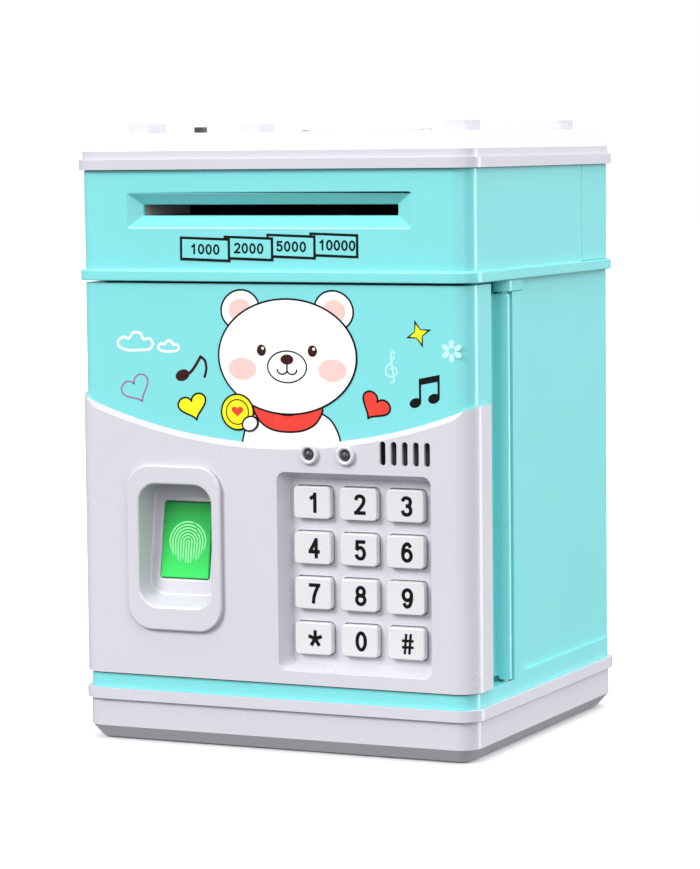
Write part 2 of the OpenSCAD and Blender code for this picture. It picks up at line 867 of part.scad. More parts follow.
module lamp_rings() {
  color(WHITE) translate([0, face_y, lamp_z]) for (x = LAMP_X) translate([x, 0, 0])
    rotate([90, 0, 0]) rotate_extrude($fn = 64) {
      translate([lamp_r + 0.05, 0]) square([2 * ring_bead_r, ring_bead_r]);
      translate([lamp_r + 0.05 + ring_bead_r, ring_bead_r]) circle(ring_bead_r, $fn = 32);
      translate([lamp_r + 0.05, -3.3]) square([0.55, 3.3]);
    }
}

module status_lamps() {
  color(DARK) translate([0, face_y, lamp_z]) for (x = LAMP_X) translate([x, 0, 0])
    rotate([90, 0, 0]) {
      translate([0, 0, -5]) cylinder(h = 4.6, r = lamp_r, $fn = 48);
      translate([0, 0, -0.4]) intersection() {
        sphere(lamp_r, $fn = 48);
        cylinder(h = 2 * lamp_r, r = 2 * lamp_r, $fn = 48);
      }
    }
}

// ---- fingerprint button ----

// Places its children in the finger rest's own frame: X across, Z up the slope, Y into the door
module on_rest() {
  translate([finger_x, rest_y, window_z]) rotate([-rest_tilt, 0, 0]) children();
}

// The mouth of the frame down to the sloping rest, with a ramp at its foot
module mouth_hollow() {
  intersection() {
    translate([finger_x + 0.5, 0, finger_z + 0.4]) hull() {
      along_y(mouth_y, mouth_y + eps) rounded(mouth_w, mouth_h, 6);
      along_y(bucket_y, bucket_y + eps) translate([0, ramp_h / 2])
        rounded(mouth_w, mouth_h - ramp_h, 5);
    }
    on_rest() block([-20, -30, -40], [20, 0, 40]);
  }
}

module fingerprint_frame() {
  color(GREY) difference() {
    union() {
      along_y(face_y - finger_out, face_y) translate([finger_x, finger_z]) rounded(frame_w, frame_h, 8);
      intersection() {
        along_y(face_y - eps, bucket_y) translate([finger_x, finger_z]) bucket_outline(0);
        on_rest() block([-20, -30, -40], [20, rest_t, 40]);
      }
    }
    mouth_hollow();
    on_rest() block([-window_w / 2 - 0.3, -9, -window_h / 2 - 0.3],
      [window_w / 2 + 0.3, 9, window_h / 2 + 0.3]);
  }
}

module fingerprint_window() {
  back = rest_t + flange_gap;
  color("#59eb82") on_rest() {
    block([-window_w / 2, -0.2, -window_h / 2], [window_w / 2, back + eps, window_h / 2]);
    block([-window_w / 2 - 1, back, -window_h / 2 - 1], [window_w / 2 + 1, back + 0.7, window_h / 2 + 1]);
  }
}

module fingerprint_board() {
  color("#2e6b3e") on_rest() {
    block([-8, 3.5, -10], [8, 4.5, 10]);
  }
}

base_tray();
base_feet();
case_shell();
case_screws();
upper_housing();
rear_cover();
top_lid();
lid_stud();
coin_slot_bezel();
coin_chute();
note_guide_lower();
note_guide_upper();
feeder_frame();
feed_motor();
note_sensor();
lock_solenoid();
battery_box();
batteries();
battery_contacts();
hinge_pin();
feed_shaft();
feed_rollers();
feed_gear();
pinch_shaft();
pinch_rollers();
motor_shaft();
motor_pinion();
lock_bolt();
bolt_spring();
battery_door();
door_shell();
door_fascia();
door_back_cover();
door_screws();
hinge_barrel();
fingerprint_frame();
fingerprint_board();
lamp_rings();
status_lamps();
speaker();
keypad_mat();
control_board();
bolt_keeper();
fingerprint_window();
key_1();
key_2();
key_3();
key_4();
key_5();
key_6();
key_7();
key_8();
key_9();
key_star();
key_0();
key_hash();
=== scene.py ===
"""Looks of the toy ATM savings bank: materials, softened mouldings, printed picture and key legends."""
import json
import math

import bmesh
import bpy
from mathutils import Matrix, Vector


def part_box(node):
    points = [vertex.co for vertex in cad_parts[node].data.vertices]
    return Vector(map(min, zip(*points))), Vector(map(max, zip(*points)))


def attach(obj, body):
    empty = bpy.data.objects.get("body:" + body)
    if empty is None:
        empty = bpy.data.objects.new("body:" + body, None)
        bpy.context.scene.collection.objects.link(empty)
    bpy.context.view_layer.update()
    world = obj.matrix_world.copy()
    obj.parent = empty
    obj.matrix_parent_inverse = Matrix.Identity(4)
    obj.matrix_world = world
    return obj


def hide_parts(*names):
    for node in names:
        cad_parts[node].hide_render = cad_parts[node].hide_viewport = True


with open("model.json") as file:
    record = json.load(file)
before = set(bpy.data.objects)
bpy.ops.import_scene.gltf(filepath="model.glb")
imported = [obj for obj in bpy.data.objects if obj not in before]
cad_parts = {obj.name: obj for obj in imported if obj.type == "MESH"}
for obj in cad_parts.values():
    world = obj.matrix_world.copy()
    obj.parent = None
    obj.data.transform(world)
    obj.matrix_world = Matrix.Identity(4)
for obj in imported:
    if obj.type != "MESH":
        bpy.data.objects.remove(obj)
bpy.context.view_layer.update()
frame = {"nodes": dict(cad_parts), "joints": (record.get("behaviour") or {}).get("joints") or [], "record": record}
NODES = frame["nodes"]
BODIES = frame["record"]["behaviour"]["bodies"]
SLOTS = {part["node"]: part["material_slot"] for part in frame["record"]["subparts"]}
BODY_OF = {node: body for body, members in BODIES.items() for node in members}
MM = 0.001
INK = 0.035 * MM  # thickness of one printed layer
PRINT_X = 1.55 * MM  # where the artwork on the front has its zero, across


# ---- materials ----

def linear(value):
    """One sRGB channel, 0 to 255, as linear light."""
    v = value / 255
    return v / 12.92 if v <= 0.04045 else ((v + 0.055) / 1.055) ** 2.4


def colour(red, green, blue):
    return (linear(red), linear(green), linear(blue), 1.0)


# The Mix node's sockets for colours, by number because its other modes use the same names.
MIX_FACTOR, MIX_A, MIX_B, MIX_RESULT = 0, 6, 7, 2


class Surface:
    """A procedural material: a Principled shader fed by noise in the object's own coordinates."""

    def __init__(self, name, base, roughness):
        self.material = bpy.data.materials.new(name)
        self.material.use_nodes = True
        self.material.diffuse_color = base
        self.tree = self.material.node_tree
        self.shader = self.tree.nodes["Principled BSDF"]
        self.shader.inputs["Base Color"].default_value = base
        self.shader.inputs["Roughness"].default_value = roughness
        self.place = self.node("ShaderNodeTexCoord").outputs["Object"]
        self.base = base
        self.roughness = roughness

    def node(self, kind, **values):
        """A new node; each named value sets its property or, failing that, its input."""
        made = self.tree.nodes.new(kind)
        for key, value in values.items():
            if hasattr(made, key):
                setattr(made, key, value)
            else:
                made.inputs[key.replace("_", " ")].default_value = value
        return made

    def link(self, out, to):
        self.tree.links.new(out, to)

    def stretch(self, across, along, up):
        """The object's coordinates, scaled by a different amount along each axis."""
        mapping = self.node("ShaderNodeMapping")
        mapping.inputs["Scale"].default_value = (across, along, up)
        self.link(self.place, mapping.inputs["Vector"])
        return mapping.outputs["Vector"]

    def noise(self, size, detail=3.0, place=None):
        """Noise between 0 and 1 whose features are about `size` metres across."""
        made = self.node("ShaderNodeTexNoise", Scale=1 / size, Detail=detail)
        self.link(place or self.place, made.inputs["Vector"])
        return made.outputs["Fac"]

    def spread(self, source, low, high, start=0.3, end=0.7):
        """A value from low to high, as the source goes from start to end."""
        made = self.node("ShaderNodeMapRange")
        made.inputs["From Min"].default_value = start
        made.inputs["From Max"].default_value = end
        made.inputs["To Min"].default_value = low
        made.inputs["To Max"].default_value = high
        self.link(source, made.inputs["Value"])
        return made.outputs["Result"]

    def blend(self, first, second, factor):
        """Take the base colour from `first` to `second` as the factor goes from 0 to 1."""
        mix = self.node("ShaderNodeMix", data_type="RGBA")
        mix.inputs[MIX_A].default_value = first
        mix.inputs[MIX_B].default_value = second
        self.link(factor, mix.inputs[MIX_FACTOR])
        self.link(mix.outputs[MIX_RESULT], self.shader.inputs["Base Color"])

    def mottle(self, size, amount):
        """Slow drift of the base colour, as uneven pigment and handling give."""
        light = [min(1.0, c * (1 + amount)) for c in self.base[:3]] + [1.0]
        dark = [c * (1 - amount) for c in self.base[:3]] + [1.0]
        self.blend(dark, light, self.spread(self.noise(size), 0.0, 1.0))

    def uneven_gloss(self, size, amount, place=None):
        """Gloss that drifts by the given amount either way."""
        source = self.noise(size, detail=4.0, place=place)
        value = self.spread(source, self.roughness - amount, self.roughness + amount)
        self.link(value, self.shader.inputs["Roughness"])

    def relief(self, source, depth):
        """Bump of the given depth in metres from a 0 to 1 height."""
        bump = self.node("ShaderNodeBump", Strength=1.0, Distance=depth)
        self.link(source, bump.inputs["Height"])
        self.link(bump.outputs["Normal"], self.shader.inputs["Normal"])


def moulded_plastic(name, base, roughness):
    """Injection-moulded plastic: faint pigment drift, uneven gloss and a fine, shallow grain."""
    made = Surface(name, base, roughness)
    made.mottle(size=42 * MM, amount=0.012)
    made.uneven_gloss(size=14 * MM, amount=0.02)
    made.relief(made.noise(size=1.1 * MM, detail=1.0), depth=0.0008 * MM)
    made.shader.inputs["IOR"].default_value = 1.49
    return made.material


def metal(name, base, across=1.0, up=1.0):
    """Drawn or plated metal, its gloss streaked along the axis whose scale is below one."""
    made = Surface(name, base, roughness=0.3)
    made.shader.inputs["Metallic"].default_value = 1.0
    streaks = made.stretch(across, 1.0, up)
    made.mottle(size=6 * MM, amount=0.08)
    made.uneven_gloss(size=0.6 * MM, amount=0.1, place=streaks)
    made.relief(made.noise(size=0.3 * MM, detail=2.0, place=streaks), depth=0.003 * MM)
    return made.material


def rubber(name, base):
    made = Surface(name, base, roughness=0.78)
    made.mottle(size=4 * MM, amount=0.18)
    made.uneven_gloss(size=1.5 * MM, amount=0.08)
    made.relief(made.noise(size=0.25 * MM), depth=0.02 * MM)
    return made.material


def printed_ink(name, base):
    """Pad-printed ink: slightly uneven film with a little less gloss than the plastic."""
    made = Surface(name, base, roughness=0.42)
    made.mottle(size=2.5 * MM, amount=0.05)
    made.uneven_gloss(size=1.2 * MM, amount=0.06)
    made.relief(made.noise(size=0.2 * MM, detail=2.0), depth=0.002 * MM)
    made.shader.inputs["Specular IOR Level"].default_value = 0.15
    return made.material


def circuit_board(name):
    """Green solder resist over copper tracks, drawn by a brick pattern whose sizes are in mm."""
    made = Surface(name, colour(20, 92, 48), roughness=0.3)
    tracks = made.node("ShaderNodeTexBrick", Scale=1.0)
    tracks.inputs["Color1"].default_value = colour(22, 98, 52)
    tracks.inputs["Color2"].default_value = colour(16, 80, 42)
    tracks.inputs["Mortar"].default_value = colour(52, 140, 78)
    tracks.inputs["Brick Width"].default_value = 3.4
    tracks.inputs["Row Height"].default_value = 1.9
    tracks.inputs["Mortar Size"].default_value = 0.14
    made.link(made.stretch(1 / MM, 1 / MM, 1 / MM), tracks.inputs["Vector"])
    made.link(tracks.outputs["Color"], made.shader.inputs["Base Color"])
    made.relief(tracks.outputs["Fac"], depth=0.02 * MM)
    return made.material


def window_with_painted_shade_and_glow(name, foot, head):
    """Translucent green plastic with painted shade and a painted glow: brighter at its foot than at its head, and
    faintly glowing.
    """
    made = Surface(name, colour(60, 214, 106), roughness=0.28)
    split = made.node("ShaderNodeSeparateXYZ")
    made.link(made.place, split.inputs["Vector"])
    height = made.spread(split.outputs["Z"], 0.0, 1.0, foot, head)
    # painted shade: the base colour darkens from the window's foot to its head, standing in for the shadow on its
    # upper part
    made.blend(colour(66, 226, 106), colour(34, 138, 62), height)
    made.uneven_gloss(size=2 * MM, amount=0.04)
    # painted glow: a faint green emission, though no lamp lights the window
    made.shader.inputs["Emission Color"].default_value = colour(40, 235, 95)
    made.shader.inputs["Emission Strength"].default_value = 0.02
    made.shader.inputs["Specular IOR Level"].default_value = 0.15
    made.shader.inputs["Subsurface Weight"].default_value = 0.15
    made.shader.inputs["Subsurface Radius"].default_value = (1 * MM, 2 * MM, 1 * MM)
    made.relief(made.noise(size=0.4 * MM, detail=2.0), depth=0.003 * MM)
    return made.material


window_low, window_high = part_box("fingerprint_window")
FINISHES = {
    "cyan_plastic": moulded_plastic("cyan_plastic", colour(125, 214, 216), 0.22),
    "grey_plastic": moulded_plastic("grey_plastic", colour(203, 202, 210), 0.26),
    "white_plastic": moulded_plastic("white_plastic", colour(226, 226, 226), 0.5),
    "key_plastic": moulded_plastic("key_plastic", colour(214, 213, 216), 0.4),
    "ring_plastic": moulded_plastic("ring_plastic", colour(206, 206, 213), 0.14),
    "steel": metal("steel", colour(190, 192, 196), up=0.12),
    "brass": metal("brass", colour(205, 168, 92), across=0.2),
    "rubber": rubber("rubber", colour(46, 47, 50)),
    "black_plastic": moulded_plastic("black_plastic", colour(44, 45, 48), 0.45),
    "lamp_plastic": moulded_plastic("lamp_plastic", colour(64, 64, 68), 0.12),
    "circuit_board": circuit_board("circuit_board"),
    "battery_skin": moulded_plastic("battery_skin", colour(40, 92, 150), 0.25),
    "green_window": window_with_painted_shade_and_glow("green_window", window_low.z, window_high.z),
}
INKS = {
    "black": printed_ink("ink_black", colour(12, 11, 12)),
    "brown": printed_ink("ink_brown", colour(54, 26, 22)),
    "white": printed_ink("ink_white", colour(246, 246, 246)),
    "pink": printed_ink("ink_pink", colour(248, 196, 190)),
    "red": printed_ink("ink_red", colour(226, 66, 56)),
    "yellow": printed_ink("ink_yellow", colour(246, 232, 36)),
    "mauve": printed_ink("ink_mauve", colour(158, 104, 150)),
    "pale_green": printed_ink("ink_pale_green", colour(150, 240, 165)),
    "pale_cyan": printed_ink("ink_pale_cyan", colour(186, 236, 234)),
    "cyan": FINISHES["cyan_plastic"],
}


def paint(obj, material):
    obj.data.materials.clear()
    obj.data.materials.append(material)


for name, node in NODES.items():
    paint(node, FINISHES[SLOTS[name]])


# ---- softened mouldings ----

def bake(piece, crease=None):
    """Turn the piece's modifiers into mesh; with a crease angle, shade it smooth up to there."""
    depsgraph = bpy.context.evaluated_depsgraph_get()
    piece.data = bpy.data.meshes.new_from_object(piece.evaluated_get(depsgraph))
    piece.modifiers.clear()
    if crease is not None:
        piece.data.polygons.foreach_set("use_smooth", [True] * len(piece.data.polygons))
        piece.data.set_sharp_from_angle(angle=math.radians(crease))


CREASE = 28.0  # degrees; an edge is rounded and stays sharp in the shading from here on
FLAT = 0.6  # degrees; faces that differ by less become one before the rounding
WELD = 0.002 * MM


def joined_faces(node):
    """The node's mesh with its triangles joined into the flat faces that they came from."""
    mesh = NODES[node].data.copy()
    shape = bmesh.new()
    shape.from_mesh(mesh)
    bmesh.ops.remove_doubles(shape, verts=shape.verts, dist=WELD)
    bmesh.ops.dissolve_limit(
        shape, angle_limit=math.radians(FLAT), verts=shape.verts, edges=shape.edges)
    shape.to_mesh(mesh)
    shape.free()
    return mesh


def soften(node, radius, segments=3):
    """A copy of a CAD node with its sharp edges rounded, which stands for that node."""
    mesh = joined_faces(node)
    piece = bpy.data.objects.new(node + "_moulding", mesh)
    bpy.context.scene.collection.objects.link(piece)
    bevel = piece.modifiers.new("edge radius", "BEVEL")
    bevel.width = radius
    bevel.segments = segments
    bevel.limit_method = "ANGLE"
    bevel.angle_limit = math.radians(CREASE)
    bevel.miter_outer = "MITER_ARC"
    bake(piece, CREASE)
    even = piece.modifiers.new("flat faces stay flat", "WEIGHTED_NORMAL")
    even.keep_sharp = True
    bake(piece)
    piece.data.name = node + "_moulding"
    paint(piece, FINISHES[SLOTS[node]])
    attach(piece, BODY_OF[node])
    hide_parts(node)


KEYS = [f"key_{digit}" for digit in range(1, 10)] + ["key_star", "key_0", "key_hash"]
KEY_EDGE = 0.75
EDGE_RADII = {  # in mm
    "base_tray": 0.7, "case_shell": 0.35, "upper_housing": 0.35, "rear_cover": 0.35,
    "top_lid": 0.8, "coin_slot_bezel": 0.3, "battery_door": 0.35, "door_shell": 0.35,
    "door_fascia": 0.35, "door_back_cover": 0.3, "hinge_barrel": 0.4, "fingerprint_frame": 0.7,
    "fingerprint_window": 0.15}
for name, radius in EDGE_RADII.items():
    soften(name, radius * MM)
for name in KEYS:
    soften(name, KEY_EDGE * MM, segments=4)


# ---- printed artwork ----

def arc(cx, cz, rx, rz, start=0.0, end=360.0, tilt=0.0, steps=48):
    """Points along an ellipse, angles in degrees; a full turn leaves out its last point."""
    whole = abs(end - start) >= 360
    count = steps if whole else steps + 1
    cosine, sine = math.cos(math.radians(tilt)), math.sin(math.radians(tilt))
    points = []
    for i in range(count):
        angle = math.radians(start + (end - start) * i / steps)
        x, z = rx * math.cos(angle), rz * math.sin(angle)
        points.append((cx + x * cosine - z * sine, cz + x * sine + z * cosine))
    return points


def spline(points, closed=False, steps=8):
    """A smooth curve through the points (Catmull-Rom)."""
    count = len(points)
    spans = count if closed else count - 1
    curve = []
    for i in range(spans):
        if closed:
            p = [points[(i + k) % count] for k in (-1, 0, 1, 2)]
        else:
            p = [points[min(max(i + k, 0), count - 1)] for k in (-1, 0, 1, 2)]
        for s in range(steps):
            t = s / steps
            curve.append(tuple(
                0.5 * (2 * p[1][k] + (p[2][k] - p[0][k]) * t
                       + (2 * p[0][k] - 5 * p[1][k] + 4 * p[2][k] - p[3][k]) * t * t
                       + (3 * p[1][k] - p[0][k] - 3 * p[2][k] + p[3][k]) * t ** 3)
                for k in (0, 1)))
    if not closed:
        curve.append(points[-1])
    return curve


def ribbon(points, width, closed=False):
    """The two sides of a pen line of the given width along the points."""
    count = len(points)
    left, right = [], []
    for i, (x, z) in enumerate(points):
        before = points[(i - 1) % count] if closed or i else points[0]
        after = points[(i + 1) % count] if closed or i < count - 1 else points[-1]
        dx, dz = after[0] - before[0], after[1] - before[1]
        length = math.hypot(dx, dz) or 1.0
        nx, nz = -dz / length * width / 2, dx / length * width / 2
        left.append((x + nx, z + nz))
        right.append((x - nx, z - nz))
    return left, right


def loop(cx, cz, rx, rz):
    """An ellipse as an open pen line whose end runs over its start."""
    points = arc(cx, cz, rx, rz, steps=36)
    return points + points[:2]


def strokes(sign, width, height, pen):
    """The pen lines of a digit or sign of the given size, centred on the origin."""
    if sign == "9":
        return [[(-x, -z) for x, z in points] for points in strokes("6", width, height, pen)]
    wide, high = width / 2, height / 2
    a, b = (width - pen) / 2, (height - pen) / 2
    lean = 0.18 * a
    turns = [math.radians(90 + 72 * arm) for arm in range(5)]
    signs = {
        "0": [loop(0, 0, a, b)],
        "1": [[(0.3 * a, high), (0.3 * a, -high)], [(-0.9 * a, 0.46 * b), (0.3 * a, 0.86 * b)]],
        "2": [spline([(-a, 0.5 * b), (-0.7 * a, 0.88 * b), (0, b), (0.75 * a, 0.86 * b), (a, 0.5 * b),
                      (0.7 * a, 0.02 * b), (-0.1 * a, -0.5 * b), (-0.8 * a, -0.95 * b)]),
              [(-wide, -b), (wide, -b)]],
        "3": [spline([(-a, 0.58 * b), (-0.65 * a, 0.9 * b), (0, b), (0.72 * a, 0.84 * b),
                      (0.92 * a, 0.5 * b), (0.6 * a, 0.12 * b), (-0.2 * a, 0.04 * b)]),
              spline([(-0.2 * a, 0.04 * b), (0.65 * a, -0.06 * b), (a, -0.46 * b), (0.72 * a, -0.87 * b),
                      (0, -b), (-0.7 * a, -0.87 * b), (-a, -0.5 * b)])],
        "4": [[(0.5 * a, b), (-a, -0.38 * b)], [(-wide, -0.42 * b), (wide, -0.42 * b)],
              [(0.5 * a, high), (0.5 * a, -high)]],
        "5": [[(0.9 * wide, b), (-0.75 * wide, b)], [(-0.7 * a, high), (-0.85 * a, 0.02 * b)],
              spline([(-0.95 * a, 0), (-0.3 * a, 0.28 * b), (0.5 * a, 0.22 * b), (a, -0.32 * b),
                      (0.68 * a, -0.86 * b), (0, -b), (-0.7 * a, -0.86 * b), (-a, -0.5 * b)])],
        "6": [loop(0, -0.38 * b, a, 0.62 * b),
              spline([(0.85 * a, 0.58 * b), (0.5 * a, 0.9 * b), (0, b), (-0.62 * a, 0.76 * b),
                      (-0.95 * a, 0.2 * b), (-a, -0.4 * b)])],
        "7": [[(-wide, b), (wide, b)],
              spline([(0.95 * a, b), (0.3 * a, 0.3 * b), (-0.15 * a, -0.4 * b), (-0.35 * a, -high)])],
        "8": [loop(0, 0.5 * b, 0.86 * a, 0.5 * b), loop(0, -0.47 * b, a, 0.53 * b)],
        "#": [[(side * 0.5 * a - lean, -high), (side * 0.5 * a + lean, high)] for side in (-1, 1)]
             + [[(-wide, side * 0.36 * b), (wide, side * 0.36 * b)] for side in (-1, 1)],
        "*": [[(0, 0), (1.08 * wide * math.cos(turn), 0.92 * high * math.sin(turn))] for turn in turns],
    }
    return signs[sign]


class Print:
    """Ink films laid on a flat face. Points are (across, up) in mm in the given frame.

    A film's layer is its height above the face in films of ink, so the higher one shows.
    """

    def __init__(self, name, place):
        self.name = name
        self.place = place
        self.mesh = bmesh.new()
        self.inks = []

    def ink(self, name):
        """The number of that ink's material slot."""
        if name not in self.inks:
            self.inks.append(name)
        return self.inks.index(name)

    def ring(self, points, layer):
        """Two rows of corners along the points: at the layer's height and on the face."""
        top = [self.mesh.verts.new(self.place @ Vector((x * MM, -layer * INK, z * MM))) for x, z in points]
        low = [self.mesh.verts.new(self.place @ Vector((x * MM, 0.0, z * MM))) for x, z in points]
        return top, low

    def fill(self, points, ink, layer=1):
        """A filled shape, as a thin closed film."""
        top, low = self.ring(points, layer)
        index = self.ink(ink)
        faces = [self.mesh.faces.new(top), self.mesh.faces.new(low[::-1])]
        for i in range(len(points)):
            j = (i + 1) % len(points)
            faces.append(self.mesh.faces.new((top[i], low[i], low[j], top[j])))
        for face in faces:
            face.material_index = index

    def band(self, outer, inner, ink, layer, closed):
        """The strip between two lines of equal length."""
        outer_top, outer_low = self.ring(outer, layer)
        inner_top, inner_low = self.ring(inner, layer)
        index = self.ink(ink)
        count = len(outer)
        faces = []
        for i in range(count if closed else count - 1):
            j = (i + 1) % count
            faces += [
                self.mesh.faces.new((outer_top[i], outer_top[j], inner_top[j], inner_top[i])),
                self.mesh.faces.new((outer_low[j], outer_low[i], inner_low[i], inner_low[j])),
                self.mesh.faces.new((outer_top[j], outer_top[i], outer_low[i], outer_low[j])),
                self.mesh.faces.new((inner_top[i], inner_top[j], inner_low[j], inner_low[i]))]
        if not closed:
            for i in (0, count - 1):
                faces.append(self.mesh.faces.new(
                    (outer_top[i], inner_top[i], inner_low[i], outer_low[i])))
        for face in faces:
            face.material_index = index

    def line(self, points, width, ink="black", layer=2, closed=False, rounded=True):
        """A pen line along the points, with round ends unless it is closed."""
        outer, inner = ribbon(points, width, closed)
        self.band(outer, inner, ink, layer, closed)
        if rounded and not closed:
            for end in (points[0], points[-1]):
                self.fill(arc(*end, width / 2, width / 2, steps=12), ink, layer)

    def frame(self, corners, width, layer):
        """A four-sided label: a black frame round a field in the case's own colour."""
        middle = (sum(c[0] for c in corners) / 4, sum(c[1] for c in corners) / 4)
        inner = [(x - math.copysign(width, x - middle[0]), z - math.copysign(width, z - middle[1]))
                 for x, z in corners]
        self.fill(inner, "cyan", layer)
        self.band(corners, inner, "black", layer, True)

    def outlined(self, points, ink, layer=1, width=0.55):
        """A filled shape inside a black pen line."""
        self.fill(points, ink, layer)
        self.line(points, width, "black", layer + 1, closed=True)

    def write(self, words, x, z, size, pen, layer, pitch=0.0, slope=0.0):
        """Digits and signs in pen strokes, centred on a point; the row climbs by `slope`."""
        for place, sign in enumerate(words):
            aside = (place - (len(words) - 1) / 2) * pitch
            for order, points in enumerate(strokes(sign, *size, pen)):
                moved = [(x + aside + px, z + slope * aside + pz) for px, pz in points]
                self.line(moved, pen, "black", layer + 0.1 * order, rounded=False)

    def finish(self, body):
        """Make the films one piece that rides on a body."""
        bmesh.ops.triangulate(
            self.mesh, faces=[face for face in self.mesh.faces if len(face.verts) > 4])
        bmesh.ops.recalc_face_normals(self.mesh, faces=self.mesh.faces)
        mesh = bpy.data.meshes.new(self.name)
        self.mesh.to_mesh(mesh)
        self.mesh.free()
        piece = bpy.data.objects.new(self.name, mesh)
        bpy.context.scene.collection.objects.link(piece)
        for ink in self.inks:
            mesh.materials.append(INKS[ink])
        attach(piece, body)


def heart(x, z, size, tilt=0.0):
    """A plump heart about `size` tall, its point down, turned by tilt degrees."""
    cosine, sine = math.cos(math.radians(tilt)), math.sin(math.radians(tilt))
    points = []
    for i in range(40):
        t = 2 * math.pi * i / 40
        px = 16 * math.sin(t) ** 3
        pz = 13 * math.cos(t) - 5 * math.cos(2 * t) - 2 * math.cos(3 * t) - math.cos(4 * t)
        px, pz = px * size / 28, (pz + 2) * size / 32
        points.append((x + px * cosine - pz * sine, z + px * sine + pz * cosine))
    return points


def draw_ears(art, x, z):
    for side in (-1, 1):
        tilt = side * -20
        art.outlined(arc(x + side * 15.4, z + 13.8, 6.4, 5.8, tilt=tilt), "white", 1)
        art.fill(arc(x + side * 15.6, z + 13.8, 3.6, 3.2, tilt=tilt), "pink", 3)


def draw_torso(art, x, z):
    """The cub's body and scarf, from the middle of its head."""
    foot = z - 29
    torso = spline([(x - 15.7, foot), (x - 14.2, z - 22), (x - 11.2, z - 17), (x, z - 14),
                    (x + 11.8, z - 17), (x + 16.3, z - 22), (x + 17.8, foot)]) + [(x, foot)]
    art.outlined(torso, "white", 1)
    scarf = spline([(x - 10.7, z - 14.8), (x, z - 17.4), (x + 10.8, z - 14.8), (x + 9.8, z - 19.0),
                    (x + 5.8, z - 21.6), (x, z - 22.4), (x - 5.7, z - 21.6), (x - 9.7, z - 18.8)],
                   closed=True)
    art.outlined(scarf, "red", 3)


def draw_face(art, x, z):
    """Two eyes and cheeks, a round muzzle with a nose and a mouth of two small bows."""
    fine = 0.42
    for side in (-1, 1):
        eye = x + side * 8.4
        art.fill(arc(eye, z + 1.8, 1.5, 1.7), "brown", 7)
        art.fill(arc(eye + 0.45, z + 2.4, 0.45, 0.45, steps=16), "white", 8)
        art.fill(arc(x + side * 14.8, z - 3.8, 4.6, 3.3), "pink", 7)
        art.line(arc(x + side * 1.6, z - 3.9, 1.6, 1.3, 180, 360), fine, "black", 8)
    art.line(arc(x, z - 3.0, 6.4, 4.7), fine, "black", 7, closed=True)
    art.fill(arc(x, z - 0.8, 2.1, 1.5), "brown", 8)
    art.line([(x, z - 2.2), (x, z - 4.0)], fine, "black", 8)


def draw_coin(art, x, z):
    """A yellow coin with a heart, and the paw that holds it."""
    art.outlined(arc(x, z, 5.3, 5.3), "yellow", 9, 0.5)
    art.line(arc(x, z, 3.7, 3.7), 0.35, "brown", 10, closed=True)
    art.fill(heart(x, z + 0.1, 3.4), "red", 10)
    art.outlined(arc(x + 4.2, z - 3.4, 2.6, 2.1, tilt=25), "white", 11, 0.5)


def draw_cub(art, x, z):
    """A bear cub of plain design, its head centred on a point, in a scarf and with a coin."""
    draw_ears(art, x, z)
    draw_torso(art, x, z)
    art.outlined(arc(x, z, 22.7, 17.1, steps=72), "white", 5)
    draw_face(art, x, z)
    draw_coin(art, x - 16.6, z - 16.8)


def draw_cloud(art, x, z, size):
    """The white outline of a cloud that reaches about `size` mm to each side."""
    rim = [(-1.0, -0.30), (-1.1, 0.02), (-0.75, 0.26), (-0.45, 0.18), (-0.15, 0.5), (0.3, 0.45),
           (0.45, 0.15), (0.82, 0.2), (1.02, -0.1), (0.8, -0.38), (0.2, -0.44), (-0.45, -0.46)]
    art.line(spline([(x + px * size, z + pz * size) for px, pz in rim], closed=True),
             0.75, "white", 1, closed=True)


def draw_music(art):
    """A single note on the left, a pair of notes on the right and a pale clef between."""
    art.fill(arc(-30.9, 112.8, 2.4, 1.7, tilt=20), "brown", 1)
    art.line(spline([(-29.6, 112.6), (-27.2, 114.8), (-24.7, 118.5)]), 0.9, "brown", 1.2)
    art.line(spline([(-24.7, 118.5), (-23.3, 117.4), (-22.8, 115.0), (-23.4, 112.5)]), 0.8, "brown", 1.4)
    for x, foot, top in ((47.1, 106.6, 113.2), (53.0, 108.0, 114.3)):
        art.fill(arc(x - 1.5, foot - 0.4, 1.9, 1.4, tilt=20), "black", 1)
        art.line([(x, foot), (x, top)], 0.7, "black", 1.2, rounded=False)
    art.fill([(46.75, 111.4), (53.35, 112.7), (53.35, 114.6), (46.75, 113.3)], "black", 1.4)
    art.line(spline([(37.3, 112.4), (38.2, 112.0), (38.9, 112.8), (38.3, 116.2), (37.9, 119.6),
                     (38.5, 121.3), (39.2, 120.2)]), 0.5, "pale_cyan", 1)
    art.line(spline([(39.2, 120.2), (38.2, 118.2), (36.4, 116.4), (36.4, 114.4), (38.0, 113.7),
                     (39.7, 114.6), (39.4, 116.2), (38.1, 116.2), (37.6, 115.3)]), 0.5, "pale_cyan", 1.2)


def draw_sparkle(art, x, z, reach, waist, ink, layer):
    """A four-pointed star, made of one kite for each point."""
    for turn in range(0, 360, 90):
        kite = [(x, z)]
        for angle, length in ((63, waist), (108, reach), (153, waist)):
            way = math.radians(angle + turn)
            kite.append((x + length * math.cos(way), z + length * math.sin(way)))
        art.fill(kite, ink, layer)


def draw_flower(art, x, z):
    """Six pale petals round a point."""
    for turn in range(90, 450, 60):
        angle = math.radians(turn)
        art.fill(arc(x + 2.2 * math.cos(angle), z + 2.0 * math.sin(angle), 1.3, 0.85, tilt=turn,
                     steps=16), "pale_cyan", 1)


